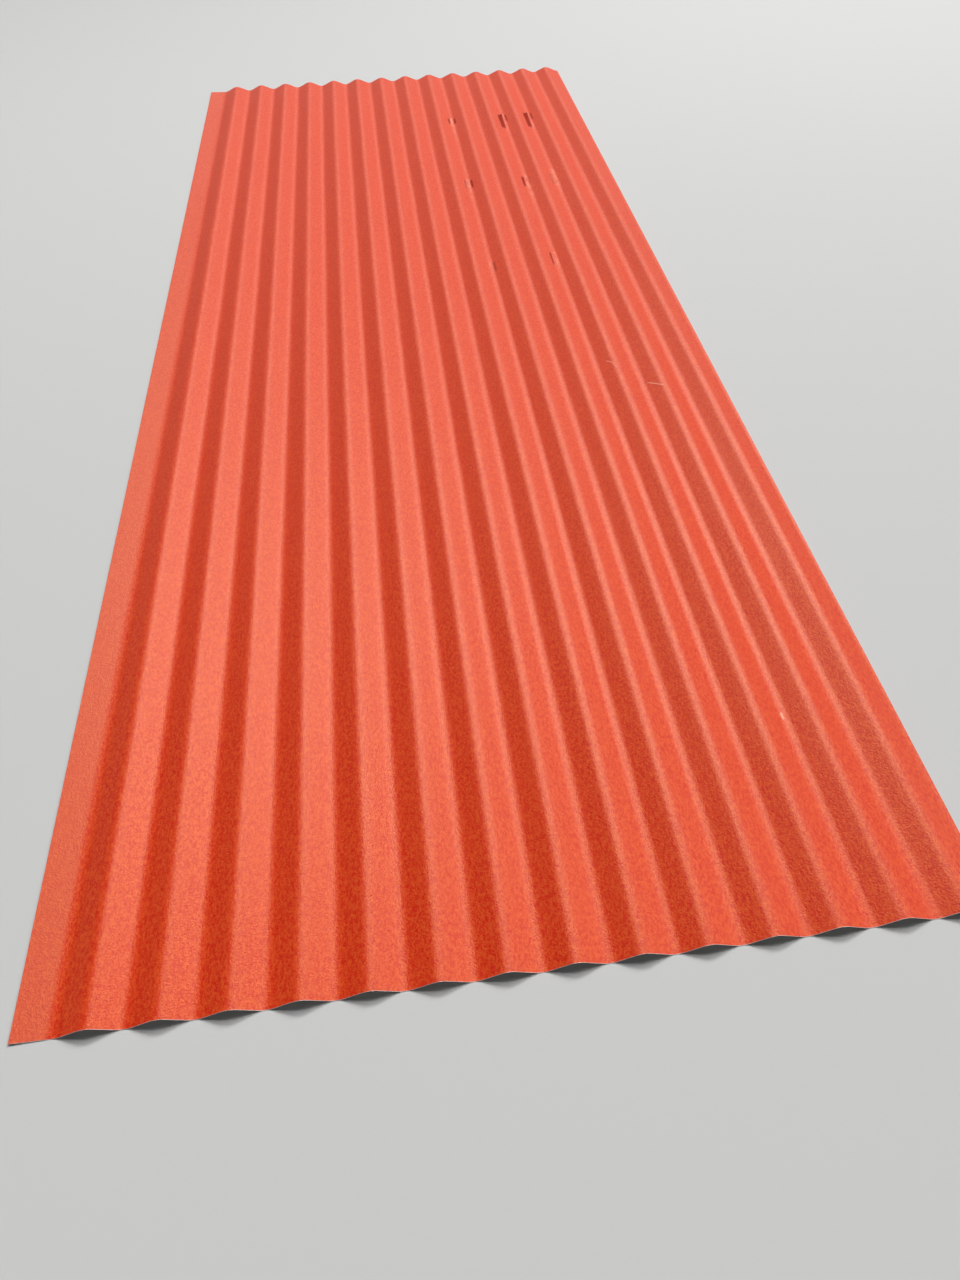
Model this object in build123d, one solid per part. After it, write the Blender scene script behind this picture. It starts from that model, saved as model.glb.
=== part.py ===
from build123d import *
import math
import os

# A corrugated roofing sheet: one piece of coated steel, lying flat.
# Millimetres. +X runs across the waves, +Y along them, +Z up.
# The origin is on the ground, under the middle of the sheet.

# Driving sizes
sheet_length = 3000.0
thickness = 0.4

# The wave: equal arcs on the crests and in the troughs, joined by straight flanks
crest_count = 14
pitch = 76.2
sheet_depth = 13.0      # from the ground to the top of the crests
bend_radius = 22.0      # at the middle of the thickness

# The lap lip, past the first trough: nearly flat, and rising a little to its free edge
lap_lip_width = 44.0
lap_lip_rise = 2.5      # degrees

# The other long edge is cut just past the last trough
trimmed_edge = 1.1

# What follows from those sizes
waves_width = crest_count * pitch
sheet_width = lap_lip_width + waves_width + trimmed_edge
first_trough = lap_lip_width - sheet_width / 2
trough_centre = thickness / 2 + bend_radius
crest_centre = sheet_depth - thickness / 2 - bend_radius


def flank_slope():
    """The slope in degrees of the straight flank that is tangent to a crest's arc and a trough's."""
    across = pitch / 2
    up = trough_centre - crest_centre
    return math.degrees(math.atan2(across, up) - math.acos(2 * bend_radius / math.hypot(across, up)))


def trough_arc(index, offset, slope_before, slope_after):
    """One trough's bend on a face that lies the offset above the middle of the thickness."""
    centre = (first_trough + index * pitch, trough_centre)
    return CenterArc(centre, bend_radius - offset, 270 - slope_before, slope_before + slope_after)


def crest_arc(index, offset, slope):
    """One crest's bend, half a pitch past the trough with the same index."""
    centre = (first_trough + (index + 0.5) * pitch, crest_centre)
    return CenterArc(centre, bend_radius + offset, 90 + slope, -2 * slope)


def bends(offset):
    """All the bends of one face, from the lap lip to the trimmed edge."""
    slope = flank_slope()
    arcs = [trough_arc(0, offset, lap_lip_rise, slope)]
    for index in range(crest_count):
        arcs.append(crest_arc(index, offset, slope))
        slope_after = slope if index < crest_count - 1 else 0
        arcs.append(trough_arc(index + 1, offset, slope, slope_after))
    return arcs


def free_edge_point(lip_start):
    """Where the lap lip ends, on the line that leaves the first bend at the lip's rise."""
    rise = math.radians(lap_lip_rise)
    lip_length = (lap_lip_width - bend_radius * math.sin(rise)) / math.cos(rise)
    return lip_start + Vector(-math.cos(rise), math.sin(rise)) * lip_length


def face_line(offset):
    """One face of the sheet seen from its end: the bends, and the straights between them."""
    arcs = bends(offset)
    edges = [Line(free_edge_point(arcs[0] @ 0), arcs[0] @ 0)]
    for arc, following in zip(arcs, arcs[1:]):
        edges.append(arc)
        edges.append(Line(arc @ 1, following @ 0))
    edges.append(arcs[-1])
    edges.append(Line(arcs[-1] @ 1, arcs[-1] @ 1 + Vector(trimmed_edge, 0)))
    return edges


def sheet_section():
    """The closed section: the two faces, and the two cut edges that join them."""
    top = face_line(thickness / 2)
    underside = face_line(-thickness / 2)
    lap_edge = Line(underside[0] @ 0, top[0] @ 0)
    other_edge = Line(top[-1] @ 1, underside[-1] @ 1)
    return make_face(top + underside + [lap_edge, other_edge])


def corrugated_sheet():
    """The section carried along the whole length, half of it to each side of the origin."""
    return extrude(Plane.XZ * sheet_section(), sheet_length / 2, both=True)


sheet = corrugated_sheet()
sheet.label = "corrugated_sheet"

os.makedirs("parts", exist_ok=True)
export_step(sheet, "parts/corrugated_sheet.step")

print("flank slope", round(flank_slope(), 2), "degrees")
print("sheet width", round(sheet_width, 1), "mm")
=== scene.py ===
import math

import bpy
import numpy as np
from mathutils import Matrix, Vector, noise


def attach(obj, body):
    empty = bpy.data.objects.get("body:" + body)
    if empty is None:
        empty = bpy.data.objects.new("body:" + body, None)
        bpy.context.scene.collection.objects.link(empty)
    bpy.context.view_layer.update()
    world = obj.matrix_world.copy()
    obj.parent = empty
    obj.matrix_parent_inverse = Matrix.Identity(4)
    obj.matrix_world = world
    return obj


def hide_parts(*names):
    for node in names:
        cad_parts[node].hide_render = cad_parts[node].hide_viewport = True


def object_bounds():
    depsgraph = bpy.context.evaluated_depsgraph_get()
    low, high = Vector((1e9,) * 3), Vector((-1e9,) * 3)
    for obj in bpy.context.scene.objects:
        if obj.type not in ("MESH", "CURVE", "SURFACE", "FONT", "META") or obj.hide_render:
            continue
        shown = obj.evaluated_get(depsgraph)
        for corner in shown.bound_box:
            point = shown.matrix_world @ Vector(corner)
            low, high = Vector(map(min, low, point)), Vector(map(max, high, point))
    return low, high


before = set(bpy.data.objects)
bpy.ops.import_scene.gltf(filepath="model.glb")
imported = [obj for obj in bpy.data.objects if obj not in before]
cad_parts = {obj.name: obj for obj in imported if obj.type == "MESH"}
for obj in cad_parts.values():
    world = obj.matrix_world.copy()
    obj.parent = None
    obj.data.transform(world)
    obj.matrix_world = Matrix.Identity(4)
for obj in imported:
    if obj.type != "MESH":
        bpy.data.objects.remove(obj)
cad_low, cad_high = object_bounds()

MM = 0.001
SHEET_NODE = "corrugated_sheet"

# The section: equal arcs on the crests and in the troughs, joined by straight flanks
THICKNESS = 0.4 * MM
CREST_COUNT = 14
PITCH = 76.2 * MM
BEND_RADIUS = 22.0 * MM
LAP_LIP_WIDTH = 44.0 * MM
LAP_LIP_RISE = math.radians(2.5)

# How finely the sheet is divided
ARC_STEPS = 6
FLANK_STEPS = 3
LIP_STEPS = 8
ROW_STEP = 50 * MM
FINE_ROW_STEP = 6 * MM
FINE_COLUMN_STEP = 1 * MM
FINE_REACH = 17 * MM

# The sheet isn't perfectly straight: its waves wander and lose some depth. Both follow a smooth
# noise that changes over this length and width, each on a level of its own
SWAY_LENGTH = 420 * MM
WANDER = 0.7 * MM
WANDER_WIDTH = 3 * PITCH
WANDER_LEVEL = 0.3
DEPTH_LOSS = 0.05
DEPTH_WIDTH = 2 * PITCH
DEPTH_LEVEL = 7.7

# The shears leave a bare line on top, where the coating ends
BARE_LINE = 0.3 * MM

# The materials' slots on the mesh
COATED, BACKED, SHEARED = range(3)

# A crease's section, from left to right, in millimetres from the trough's middle: the left slit,
# the end of the flat top, the right slit's lowest line and where that slit ends
LEFT_SLIT = -9.0
TOP_END = 2.0
RIGHT_SLIT = 4.8
RIGHT_END = 10.5

# The sheet also dips: outside the left slit by a share of the crease's height, after a short
# bend, and in the right slit by up to this many millimetres, the darker the slit the more
OUTER_BEND = 0.8
LEFT_DIP_SHARE = 0.5
RIGHT_DIP = 0.7

# Where shade is painted in the slits: the left one over its own width, the right one in a band along
# its far part
LEFT_DARK_SHARE = 0.55
RIGHT_DARK = 7.3
RIGHT_DARK_WIDTH = 3.4
RIGHT_DARK_LENGTH = 60 * MM
RIGHT_DARK_EASE = 20 * MM

# How a crease ends: steeply at the far end, softly and low at the near one
FAR_EASE = 8 * MM
NEAR_EASE = 14 * MM
NEAR_HEIGHT = 0.15

# A rubbed band's width at its near end, as a share of the width given, and how much it narrows
RUBBED_SHARE = 0.7
RUBBED_NARROWING = 0.3


def smooth_step(share):
    """Eases from 0 to 1, and stops at both."""
    share = np.clip(share, 0, 1)
    return share * share * (3 - 2 * share)


def hump(distance, width, power):
    """One at no distance and falling to 0 beyond the width, the more steeply the higher the power."""
    return np.exp(-((distance / width) ** power))


def far_share(y, near, far):
    """Grows from 0 at the near end to 1 at the far one, and stops at both."""
    return np.clip((y - near) / (far - near), 0, 1)


def trough_x(index):
    """Where a trough's lowest line is, counted from the lap lip's side."""
    return cad_low.x + LAP_LIP_WIDTH + index * PITCH


class Crease:
    """A short ridge that the rolls squeezed up along a trough, between two slits whose darkness is
    partly their real slope and partly painted shade.
    """

    def __init__(self, trough, ends, slit, height, dark, rubbed):
        """Sizes in millimetres: the far and near end, the left slit's width and the height.

        Dark says how much shade is painted in the left and right slits; the right one also sets how
        deep the right slit dips. Rubbed gives the far and near end of the band where the coating was
        rubbed, its width and how far beside the trough it lies.
        """
        self.trough = trough
        self.x = trough_x(trough)
        self.far, self.near = ends[0] * MM, ends[1] * MM
        self.slit = slit
        self.height = height
        self.left_dark, self.right_dark = dark
        self.rubbed_far, self.rubbed_near = rubbed[0] * MM, rubbed[1] * MM
        self.rubbed_width, self.rubbed_aside = rubbed[2] * MM, rubbed[3] * MM

    def along(self, y):
        """One along the crease, easing to 0 at its ends."""
        far_end = smooth_step((self.far - y) / FAR_EASE + 0.5)
        near_end = smooth_step((y - self.near) / NEAR_EASE + 0.5)
        return far_end * near_end

    def rise(self, x, y):
        """How far the crease lifts the sheet at a place, in metres."""
        outer, inner = LEFT_SLIT - self.slit / 2, LEFT_SLIT + self.slit / 2
        places = (outer - OUTER_BEND, outer, inner, TOP_END, RIGHT_SLIT, RIGHT_END)
        left_dip, right_dip = -LEFT_DIP_SHARE * self.height, -RIGHT_DIP * self.right_dark
        heights = (0.0, left_dip, self.height, self.height, right_dip, 0.0)
        section = np.interp((x - self.x) / MM, places, heights) * MM
        size = NEAR_HEIGHT + (1 - NEAR_HEIGHT) * far_share(y, self.near, self.far)
        return self.along(y) * size * section

    def slit_shade(self, x, y):
        """How much shade is painted in the slits, from 0 to 1."""
        across = (x - self.x) / MM
        left = self.left_dark * hump(across - LEFT_SLIT, LEFT_DARK_SHARE * self.slit, 6)
        right = self.right_dark * hump(across - RIGHT_DARK, RIGHT_DARK_WIDTH, 4)
        far_part = smooth_step((y - self.far + RIGHT_DARK_LENGTH) / RIGHT_DARK_EASE)
        return self.along(y) * (left + right * far_part)

    def rubbed(self, x, y):
        """How much the coating was rubbed pale, widening and fading towards the near end."""
        share = far_share(y, self.rubbed_near, self.rubbed_far)
        start = smooth_step((self.rubbed_far - y) / FAR_EASE + 0.5)
        width = self.rubbed_width * (RUBBED_SHARE - RUBBED_NARROWING * share)
        across = x - self.x - self.rubbed_aside
        return start * np.sqrt(smooth_step(share)) * hump(across, width, 2)


def crease_rows():
    """The creases of each turn of the rolls: sharp in the far row, and faint in the third."""
    return (
        (
            Crease(9, (1129, 1085), 5.5, 3.0, dark=(0.9, 1.0), rubbed=(1132, 985, 10, -2)),
            Crease(11, (1131, 1023), 12.0, 6.5, dark=(1.0, 0.8), rubbed=(1140, 1010, 5, 1)),
            Crease(12, (1131, 1016), 12.0, 6.5, dark=(1.0, 0.8), rubbed=(1140, 1000, 5, 1)),
        ),
        (
            Crease(9, (672, 617), 5.0, 2.6, dark=(0.6, 1.0), rubbed=(680, 540, 8, -2)),
            Crease(11, (666, 604), 6.5, 3.4, dark=(1.0, 0.3), rubbed=(688, 510, 12, 1)),
            Crease(12, (676, 604), 5.5, 2.2, dark=(0.6, 0.0), rubbed=(708, 560, 13, 1)),
        ),
        (
            Crease(9, (198, 152), 4.0, 0.6, dark=(0.1, 0.7), rubbed=(196, 150, 3, -2)),
            Crease(11, (222, 160), 4.5, 1.8, dark=(0.9, 0.0), rubbed=(224, 150, 5, 1)),
        ),
    )


def flank_slope():
    """The slope of the straight flank that is tangent to a crest's arc and a trough's."""
    depth = cad_high.z - cad_low.z
    up = 2 * BEND_RADIUS - (depth - THICKNESS)
    across = PITCH / 2
    return math.atan2(across, up) - math.acos(2 * BEND_RADIUS / math.hypot(across, up))


def bend_drop(reach):
    """How far an arc has turned away from its lowest or highest line at a distance beside it."""
    return BEND_RADIUS - np.sqrt(BEND_RADIUS ** 2 - reach ** 2)


def wave_profile(x):
    """Height and slope of the middle of the thickness, as if the waves went on to both sides."""
    steepest = flank_slope()
    bend = BEND_RADIUS * math.sin(steepest)
    from_trough = (x - trough_x(0) + PITCH / 2) % PITCH - PITCH / 2
    from_crest = PITCH / 2 - np.abs(from_trough)
    in_trough = np.abs(from_trough) < bend
    on_crest = from_crest < bend
    trough_reach = np.minimum(np.abs(from_trough), bend)
    crest_reach = np.minimum(from_crest, bend)
    trough_z = THICKNESS / 2 + bend_drop(trough_reach)
    crest_z = cad_high.z - cad_low.z - THICKNESS / 2 - bend_drop(crest_reach)
    flank_z = trough_z + (np.abs(from_trough) - bend) * math.tan(steepest)
    z = np.where(in_trough, trough_z, np.where(on_crest, crest_z, flank_z))
    slope = np.arcsin(np.where(on_crest, crest_reach, trough_reach) / BEND_RADIUS)
    return z, np.sign(from_trough) * slope


def profile(x):
    """Height above the ground and slope of the middle of the thickness, across the sheet."""
    z, slope = wave_profile(x)

    # The lap lip goes straight on from the first trough's bend
    lip_bend = BEND_RADIUS * math.sin(LAP_LIP_RISE)
    lip_run = trough_x(0) - x - lip_bend
    on_lip = lip_run > 0
    lip_start = THICKNESS / 2 + BEND_RADIUS * (1 - math.cos(LAP_LIP_RISE))
    z = np.where(on_lip, lip_start + lip_run * math.tan(LAP_LIP_RISE), z)
    slope = np.where(on_lip, -LAP_LIP_RISE, slope)

    # The trimmed edge is level
    past_last = x > trough_x(CREST_COUNT)
    return np.where(past_last, THICKNESS / 2, z), np.where(past_last, 0.0, slope)


def thinned(places, gap):
    """Places in order, without those that crowd the one before."""
    kept = []
    for place in sorted(places):
        if not kept or place - kept[-1] > gap:
            kept.append(place)
    return kept


def columns(creased_troughs):
    """Where the sheet is divided across its waves, more finely in the creased troughs."""
    steepest = flank_slope()
    bend = BEND_RADIUS * np.sin(np.linspace(-steepest, steepest, ARC_STEPS + 1))
    flank = (PITCH / 2 - 2 * bend[-1]) * np.arange(1, FLANK_STEPS) / FLANK_STEPS
    places = list(np.linspace(cad_low.x, trough_x(0) + bend[0], LIP_STEPS))
    for half_wave in range(2 * CREST_COUNT + 1):
        centre = trough_x(half_wave / 2)
        places.extend(centre + bend)
        places.extend(centre + bend[-1] + flank)
    for trough in creased_troughs:
        places.extend(trough_x(trough) + np.arange(-FINE_REACH, FINE_REACH, FINE_COLUMN_STEP))
    least_gap = FINE_COLUMN_STEP / 4
    inner = [place for place in places if place < cad_high.x - least_gap]
    return np.array(thinned(inner, least_gap) + [cad_high.x])


def rows(turns):
    """Where the sheet is divided along its length, more finely where it is creased."""
    length = cad_high.y - cad_low.y
    places = list(np.linspace(cad_low.y, cad_high.y, round(length / ROW_STEP) + 1))
    for turn in turns:
        end = max(crease.rubbed_far for crease in turn) + FINE_ROW_STEP
        start = min(crease.near for crease in turn) - 2 * FINE_ROW_STEP
        places.extend(np.arange(start, end, FINE_ROW_STEP))
    places.extend([cad_low.y + BARE_LINE, cad_high.y - BARE_LINE])
    return np.array(thinned(places, BARE_LINE / 2))


def wander(x, y):
    """A slow sideways drift of the waves, none at the long edges."""
    edge_share = min(1.0, (x - cad_low.x) / PITCH, (cad_high.x - x) / PITCH)
    place = Vector((x / WANDER_WIDTH, y / SWAY_LENGTH, WANDER_LEVEL))
    return WANDER * edge_share * noise.noise(place)


def depth_share(x, y):
    """How much of its full depth the wave has at a place."""
    place = Vector((x / DEPTH_WIDTH, y / SWAY_LENGTH, DEPTH_LEVEL))
    return 1 - DEPTH_LOSS * (0.5 + 0.5 * noise.noise(place))


def face_grids(x, row_places, creases):
    """The sheet's top and under faces, each as an array of rows of vertices."""
    z, slope = profile(x)
    top = np.zeros((len(row_places), len(x), 3))
    under = np.zeros_like(top)
    lowest, highest = THICKNESS / 2, cad_high.z - cad_low.z
    for row, y in enumerate(row_places):
        share = np.array([depth_share(place, y) for place in x])
        drift = np.array([wander(place, y) for place in x])
        lift = sum(crease.rise(x, y) for crease in creases)
        middle = np.maximum(lowest + (z - lowest) * share + lift, lowest)
        for face, side in ((top, 1), (under, -1)):
            face_x = x + drift - side * THICKNESS / 2 * np.sin(slope)
            face_z = middle + side * THICKNESS / 2 * np.cos(slope)
            face[row, :, 0] = np.clip(face_x, cad_low.x, cad_high.x)
            face[row, :, 1] = y
            face[row, :, 2] = cad_low.z + np.clip(face_z, 0, highest)
    return top, under


def strip(first, second):
    """Four-sided faces between two lines of vertex numbers."""
    corners = [first[:-1], first[1:], second[1:], second[:-1]]
    return np.stack(corners, axis=-1).reshape(-1, 4).tolist()


def sheet_faces(row_count, column_count):
    """The two broad faces and the cut edges of the closed mesh, and the material slot of each face."""
    top = np.arange(row_count * column_count).reshape(row_count, column_count)
    under = top + top.size
    broad, slots = [], []
    last = row_count - 2
    for row in range(row_count - 1):
        top_strip = strip(top[row], top[row + 1])
        under_strip = strip(under[row + 1], under[row])
        broad += top_strip + under_strip
        slots += [SHEARED if row in (0, last) else COATED] * len(top_strip)
        slots += [BACKED] * len(under_strip)
    edges = strip(under[0], top[0]) + strip(top[-1], under[-1])
    edges += strip(top[:, 0], under[:, 0]) + strip(under[:, -1], top[:, -1])
    return broad, edges, slots + [SHEARED] * len(edges)


def build_sheet():
    """The sheet as one closed mesh: its top face, its underside and the cut edges."""
    turns = crease_rows()
    creases = [crease for turn in turns for crease in turn]
    x = columns(sorted({crease.trough for crease in creases}))
    row_places = rows(turns)
    top, under = face_grids(x, row_places, creases)
    broad, edges, slots = sheet_faces(len(row_places), len(x))

    mesh = bpy.data.meshes.new("sheet")
    vertices = np.concatenate([top.reshape(-1, 3), under.reshape(-1, 3)])
    mesh.from_pydata(vertices.tolist(), [], broad + edges)
    mesh.polygons.foreach_set("material_index", slots)
    mesh.polygons.foreach_set("use_smooth", [True] * len(slots))
    add_masks(mesh, vertices, creases)
    mesh.update()
    mesh.validate()
    mark_sharp_edges(mesh, len(broad))
    sheet = bpy.data.objects.new("sheet_of_steel", mesh)
    bpy.context.scene.collection.objects.link(sheet)
    return sheet


def add_masks(mesh, vertices, creases):
    """Numbers on each vertex: how much a crease rubbed its coating, and how much shade is painted in
    its slits.
    """
    x, y = vertices[:, 0], vertices[:, 1]
    masks = {
        "rubbed": sum(crease.rubbed(x, y) for crease in creases),
        "slit_shade": sum(crease.slit_shade(x, y) for crease in creases),
    }
    for name, mask in masks.items():
        attribute = mesh.attributes.new(name, "FLOAT", "POINT")
        attribute.data.foreach_set("value", np.clip(mask, 0, 1).astype(np.float32))


def mark_sharp_edges(mesh, broad_count):
    """Keeps the shading of the two broad faces apart from that of the cut edges."""
    sharp_keys = set()
    for polygon in list(mesh.polygons)[broad_count:]:
        sharp_keys.update(polygon.edge_keys)
    attribute = mesh.attributes.new("sharp_edge", "BOOLEAN", "EDGE")
    attribute.data.foreach_set("value", [edge.key in sharp_keys for edge in mesh.edges])


class Nodes:
    """A short way to write the nodes of a material or of the world."""

    def __init__(self, owner):
        owner.use_nodes = True
        self.tree = owner.node_tree

    def add(self, kind, inputs=None, **settings):
        node = self.tree.nodes.new(kind)
        for key, value in settings.items():
            setattr(node, key, value)
        for key, value in (inputs or {}).items():
            self.put(value, node.inputs[key])
        return node

    def put(self, value, socket):
        """Links a node's output to a socket, or sets the socket to a plain value."""
        if isinstance(value, bpy.types.NodeSocket):
            self.tree.links.new(value, socket)
        else:
            socket.default_value = value

    def math(self, operation, first, second=0.0):
        return self.add("ShaderNodeMath", {0: first, 1: second}, operation=operation).outputs[0]

    def vector_math(self, operation, first, second):
        return self.add("ShaderNodeVectorMath", {0: first, 1: second}, operation=operation).outputs

    def dot(self, vector, direction):
        return self.vector_math("DOT_PRODUCT", vector, direction)["Value"]

    def ramp(self, value, low, high, start=0.0, end=1.0):
        """Maps a value between low and high to one between start and end, and stops at both."""
        inputs = {"Value": value, "From Min": low, "From Max": high, "To Min": start, "To Max": end}
        return self.add("ShaderNodeMapRange", inputs).outputs["Result"]


class MaterialNodes(Nodes):
    """The nodes of a new material, with its shader."""

    def __init__(self, name):
        self.material = bpy.data.materials.new(name)
        super().__init__(self.material)
        self.shader = self.tree.nodes["Principled BSDF"]

    def shade(self, name, value):
        """Gives one of the shader's own sockets a link or a plain value."""
        self.put(value, self.shader.inputs[name])

    def place(self):
        """Coordinates in metres, the same as the part's own."""
        return self.add("ShaderNodeTexCoord").outputs["Object"]

    def mask(self, name):
        """A number that the mesh has on each vertex."""
        return self.add("ShaderNodeAttribute", attribute_name=name).outputs["Fac"]

    def noise(self, place, scale, detail, roughness, squeeze=None):
        """Soft noise. A squeeze below 1 along one axis draws it out along that axis."""
        if squeeze:
            place = self.vector_math("MULTIPLY", place, squeeze)[0]
        inputs = {"Vector": place, "Scale": scale, "Detail": detail, "Roughness": roughness}
        return self.add("ShaderNodeTexNoise", inputs).outputs["Fac"]

    def mix(self, share, first, second):
        """From the first colour to the second. The node keeps its colours in inputs 6 and 7."""
        inputs = {0: share, 6: first, 7: second}
        return self.add("ShaderNodeMix", inputs, data_type="RGBA").outputs[2]

    def bump(self, height, distance, normal=None):
        inputs = {"Height": height, "Distance": distance, "Strength": 1.0}
        if normal is not None:
            inputs["Normal"] = normal
        return self.add("ShaderNodeBump", inputs).outputs["Normal"]

    def stroke(self, place, start, end, width):
        """One on a thin straight line seen from above. Its ends and width are in millimetres."""
        start, end = Vector(start).to_3d() * MM, Vector(end).to_3d() * MM
        half_length, half_width = (end - start).length / 2, width * MM / 2
        ahead = (end - start).normalized()
        aside = Vector((-ahead.y, ahead.x, 0))
        offset = self.vector_math("SUBTRACT", place, (start + end) / 2)[0]
        along = self.math("ABSOLUTE", self.dot(offset, ahead))
        across = self.math("ABSOLUTE", self.dot(offset, aside))
        along_share = self.ramp(along, half_length * 0.7, half_length, start=1.0, end=0.0)
        across_share = self.ramp(across, half_width / 2, half_width, start=1.0, end=0.0)
        return self.math("MULTIPLY", along_share, across_share)


# The scratches' ends and widths in millimetres. The last is a short nick
SCRATCHES = (
    ((412, -357), (438, -387), 3.2),
    ((347, -274), (359, -291), 2.4),
    ((358, -289), (361, -309), 1.2),
    ((401.2, -1181.5), (401.4, -1195.5), 4.2),
)


def coat_colour(n, place):
    """Red-orange with fine specks, and softer in clouds that follow the waves."""
    deep_red = (0.684, 0.010, 0.001, 1.0)
    bright_red = (0.836, 0.090, 0.014, 1.0)
    soft_red = (0.776, 0.054, 0.008, 1.0)
    specks = n.noise(place, scale=280.0, detail=3.0, roughness=0.9, squeeze=(1.0, 0.55, 1.0))
    cloud = n.noise(place, scale=9.0, detail=3.0, roughness=0.5, squeeze=(1.0, 0.35, 1.0))
    speckled = n.mix(n.ramp(specks, 0.40, 0.60), deep_red, bright_red)
    return n.mix(n.ramp(cloud, 0.35, 0.75, end=0.25), speckled, soft_red)


def wear_and_sheen_share(n, place):
    """Where the coat is pale: in patches of the rubbed bands, which are wear, and on the lap lip,
    which is painted sheen.
    """
    patches = n.noise(place, scale=110.0, detail=2.0, roughness=0.7, squeeze=(1.0, 0.35, 1.0))
    rubbed = n.math("MULTIPLY", n.mask("rubbed"), n.ramp(patches, 0.40, 0.60, end=0.95))

    # Painted sheen: the lip is a little paler than the rest, up to the first trough, and more so
    # towards the near end
    fade_start, fade_end = trough_x(0) - 8 * MM, trough_x(0) - 3 * MM
    most_pale, least_pale = -900 * MM, 500 * MM
    lip = n.ramp(n.dot(place, (1.0, 0.0, 0.0)), fade_start, fade_end, start=0.35, end=0.0)
    near = n.ramp(n.dot(place, (0.0, 1.0, 0.0)), most_pale, least_pale, start=1.0, end=0.25)
    return n.math("MAXIMUM", rubbed, n.math("MULTIPLY", lip, near))


def scratched_share(n, place):
    """One on the scratches."""
    share = 0.0
    for start, end, width in SCRATCHES:
        share = n.math("MAXIMUM", n.stroke(place, start, end, width), share)
    return share


def coating_material():
    """Matt red-orange coating with a fine wrinkled grain."""
    n = MaterialNodes("wrinkled_coating")
    place = n.place()
    slit_shade = n.mask("slit_shade")

    wear_and_sheen_red = (0.90, 0.22, 0.12, 1.0)
    # The deep red of the shade painted into the crease slits
    slit_shade_red = (0.36, 0.012, 0.002, 1.0)
    scratch_pink = (0.90, 0.34, 0.22, 1.0)
    # The pale colour is wear in the rubbed bands and painted sheen on the lap lip
    colour = n.mix(wear_and_sheen_share(n, place), coat_colour(n, place), wear_and_sheen_red)
    # Painted shade: the crease slits turn deep red as far as the mask of painted shade reaches
    colour = n.mix(slit_shade, colour, slit_shade_red)
    n.shade("Base Color", n.mix(scratched_share(n, place), colour, scratch_pink))

    grain = n.noise(place, scale=700.0, detail=2.0, roughness=0.6)
    coarse_grain = n.noise(place, scale=420.0, detail=2.0, roughness=0.5)
    ripple = n.noise(place, scale=14.0, detail=1.0, roughness=0.4, squeeze=(1.0, 0.5, 1.0))
    roughness = n.ramp(coarse_grain, 0.3, 0.7, start=0.37, end=0.47)
    n.shade("Roughness", n.math("MAXIMUM", roughness, slit_shade))
    n.shade("Specular IOR Level", 0.65)
    n.shade("Specular Tint", (1.0, 0.69, 0.46, 1.0))
    rippled = n.bump(ripple, 0.5 * MM)
    wrinkled = n.bump(coarse_grain, 0.45 * MM, rippled)
    n.shade("Normal", n.bump(grain, 0.16 * MM, wrinkled))
    return n.material


def backing_material():
    """The thin grey coat on the underside, with streaks along the waves."""
    n = MaterialNodes("grey_backing_coat")
    place = n.place()
    light_grey = (0.34, 0.34, 0.33, 1.0)
    dark_grey = (0.26, 0.27, 0.26, 1.0)
    streaks = n.noise(place, scale=160.0, detail=3.0, roughness=0.6, squeeze=(1.0, 0.05, 1.0))
    cloud = n.noise(place, scale=14.0, detail=3.0, roughness=0.5)
    clouded = n.mix(n.ramp(cloud, 0.3, 0.7), dark_grey, light_grey)
    n.shade("Base Color", n.mix(n.ramp(streaks, 0.45, 0.75, end=0.3), clouded, dark_grey))
    n.shade("Roughness", n.ramp(streaks, 0.3, 0.7, start=0.42, end=0.55))
    return n.material


def cut_edge_material():
    """Bare steel with its zinc, where the sheet was sheared."""
    n = MaterialNodes("sheared_steel_edge")
    dull_zinc = (0.52, 0.44, 0.41, 1.0)
    bright_zinc = (0.72, 0.62, 0.58, 1.0)
    streaks = n.noise(n.place(), scale=900.0, detail=2.0, roughness=0.6, squeeze=(1.0, 1.0, 0.2))
    n.shade("Base Color", n.mix(streaks, dull_zinc, bright_zinc))
    n.shade("Metallic", 0.3)
    n.shade("Roughness", n.ramp(streaks, 0.3, 0.7, start=0.35, end=0.5))
    return n.material


def add_floor():
    """A plain pale floor just under the sheet."""
    size = 60.0
    gap = 0.05 * MM
    bpy.ops.mesh.primitive_plane_add(size=size, location=(0, 0, cad_low.z - gap))
    floor = bpy.context.object
    floor.name = "floor"
    n = MaterialNodes("pale_floor")
    n.shade("Base Color", (0.66, 0.66, 0.65, 1.0))
    n.shade("Roughness", 0.9)
    n.shade("Specular IOR Level", 0.2)
    floor.data.materials.append(n.material)


# The suns: azimuth, elevation and width in degrees, and strength. Azimuth 0 shines from +Y and
# 90 from +X
SUNS = {
    "far": (5.0, 46.0, 12.0, 1.02),
    "high": (5.0, 66.0, 12.0, 0.64),
    "key": (35.0, 46.0, 12.0, 0.53),
    "side": (70.0, 37.0, 20.0, 0.75),
    "back": (190.0, 35.0, 60.0, 0.25),
}

# The round lamps: place in metres and watts. All have one size and aim at one place on the sheet
DISCS = {
    "corner": ((2.5, 3.0, 4.0), 79.0),
    "left": ((-1.1, 1.2, 2.2), 3.0),
}
DISC_SIZE = 0.9
DISC_AIM = Vector((0.0, 0.3, 0.0))


def add_lamp(name, kind, towards):
    """A new lamp that shines from the direction given. Gives the lamp and its settings."""
    settings = bpy.data.lights.new(name, kind)
    lamp = bpy.data.objects.new(name, settings)
    bpy.context.scene.collection.objects.link(lamp)
    lamp.rotation_mode = "QUATERNION"
    lamp.rotation_quaternion = towards.to_track_quat("Z", "Y")
    return lamp, settings


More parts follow.
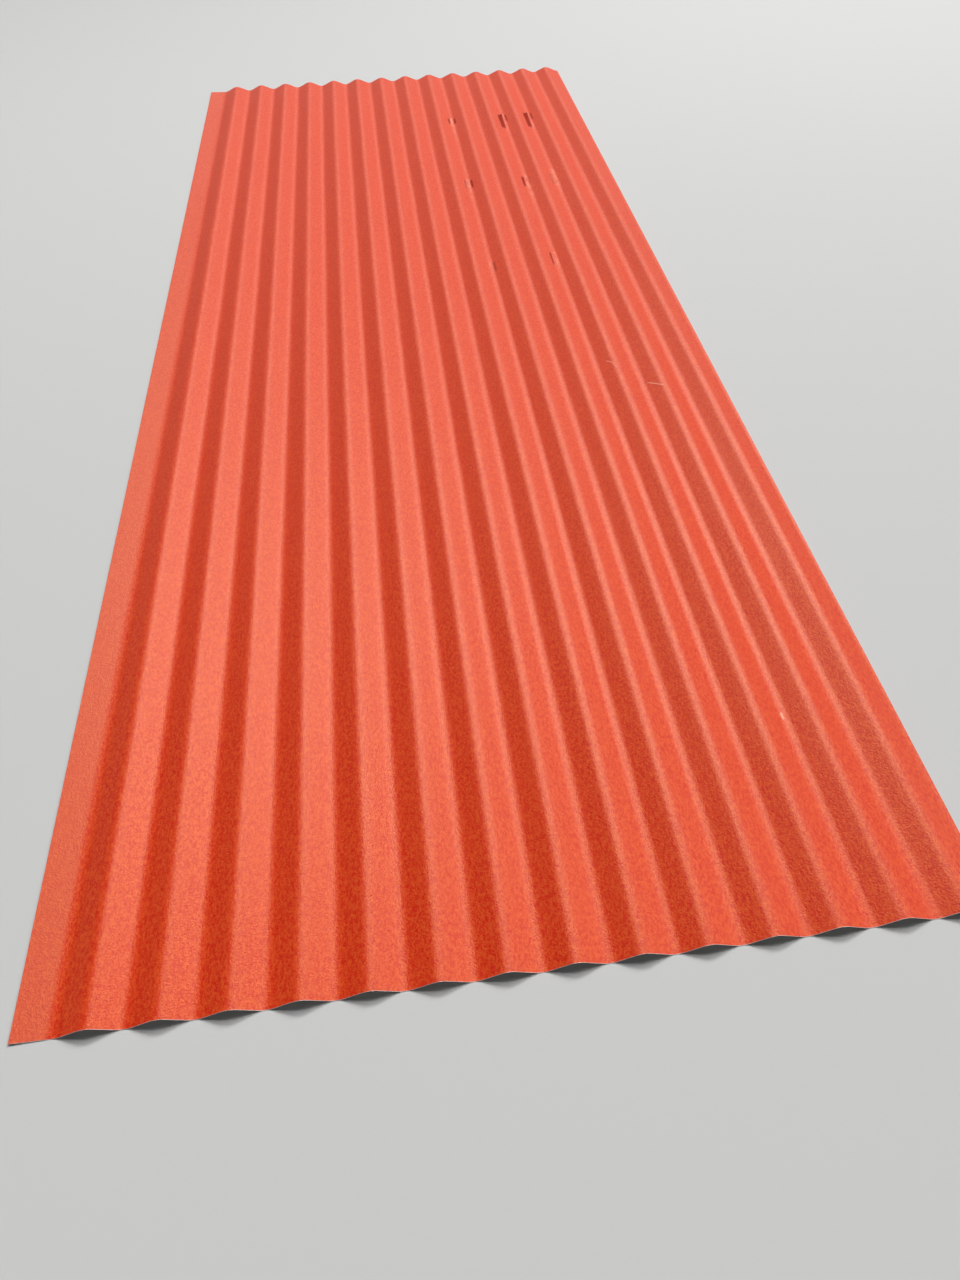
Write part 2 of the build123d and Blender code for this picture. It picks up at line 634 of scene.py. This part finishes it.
def add_sun(name, azimuth, elevation, width, strength):
    """A soft lamp far away."""
    turn, lift = math.radians(azimuth), math.radians(elevation)
    level = math.cos(lift)
    towards = Vector((math.sin(turn) * level, math.cos(turn) * level, math.sin(lift)))
    _, settings = add_lamp(name, "SUN", towards)
    settings.energy = strength
    settings.angle = math.radians(width)


def add_disc(name, location, watts):
    """A round lamp near the sheet, which lights the part nearest to it a little more."""
    lamp, settings = add_lamp(name, "AREA", Vector(location) - DISC_AIM)
    settings.shape = "DISK"
    settings.size = DISC_SIZE
    settings.energy = watts
    lamp.location = location
    lamp.visible_camera = False


def add_world():
    """An even dim light. The camera, gloss and glass see a pale wall there, up to a dim ceiling."""
    even_light = 0.035
    wall_colour = (0.45, 0.45, 0.44, 1.0)

    # The wall fades into the ceiling between these, as the sine of the angle above the horizon
    wall_top, ceiling_start = 0.35, 0.60

    world = bpy.data.worlds.new("studio")
    bpy.context.scene.world = world
    n = Nodes(world)
    light = n.tree.nodes["Background"]
    n.put((1.0, 1.0, 1.0, 1.0), light.inputs["Color"])
    n.put(even_light, light.inputs["Strength"])
    wall = n.add("ShaderNodeBackground", {"Color": wall_colour})
    rays = n.add("ShaderNodeLightPath").outputs
    shown = n.math("MAXIMUM", rays["Is Camera Ray"], rays["Is Glossy Ray"])
    shown = n.math("MAXIMUM", shown, rays["Is Transmission Ray"])
    direction = n.add("ShaderNodeTexCoord").outputs["Generated"]
    height = n.dot(direction, (0.0, 0.0, 1.0))
    share = n.math("MULTIPLY", shown, n.ramp(height, wall_top, ceiling_start, start=1.0, end=0.0))
    mixed = n.add("ShaderNodeMixShader", {0: share, 1: light.outputs[0], 2: wall.outputs[0]})
    n.put(mixed.outputs[0], n.tree.nodes["World Output"].inputs["Surface"])


def add_light():
    """Soft suns from the far side and the right, a weak one from behind, two discs and the world."""
    for name, sun in SUNS.items():
        add_sun(name, *sun)
    for name, disc in DISCS.items():
        add_disc(name, *disc)
    add_world()


def add_camera():
    """The photograph's own place and angle, found from the sheet's four edges."""
    # In the photograph's own pixels
    image_height = 1280
    focal_length = 965.5
    centre_shift = -20.2

    # In millimetres and degrees
    place = (-66.7, -1954.7, 1038.2)
    turns = (43.028, 1.084, -7.506)

    data = bpy.data.cameras.new("camera")
    data.sensor_width = 36.0
    data.lens = focal_length * data.sensor_width / image_height
    data.shift_x = centre_shift / image_height
    data.clip_start = 0.01
    data.clip_end = 100.0
    camera = bpy.data.objects.new("camera", data)
    camera.location = [value * MM for value in place]
    camera.rotation_euler = [math.radians(turn) for turn in turns]
    bpy.context.scene.collection.objects.link(camera)
    bpy.context.scene.camera = camera


bpy.context.scene.view_settings.view_transform = "Standard"
add_camera()
add_light()
add_floor()
sheet = build_sheet()
for material in (coating_material(), backing_material(), cut_edge_material()):
    sheet.data.materials.append(material)
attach(sheet, "root")
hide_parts(SHEET_NODE)
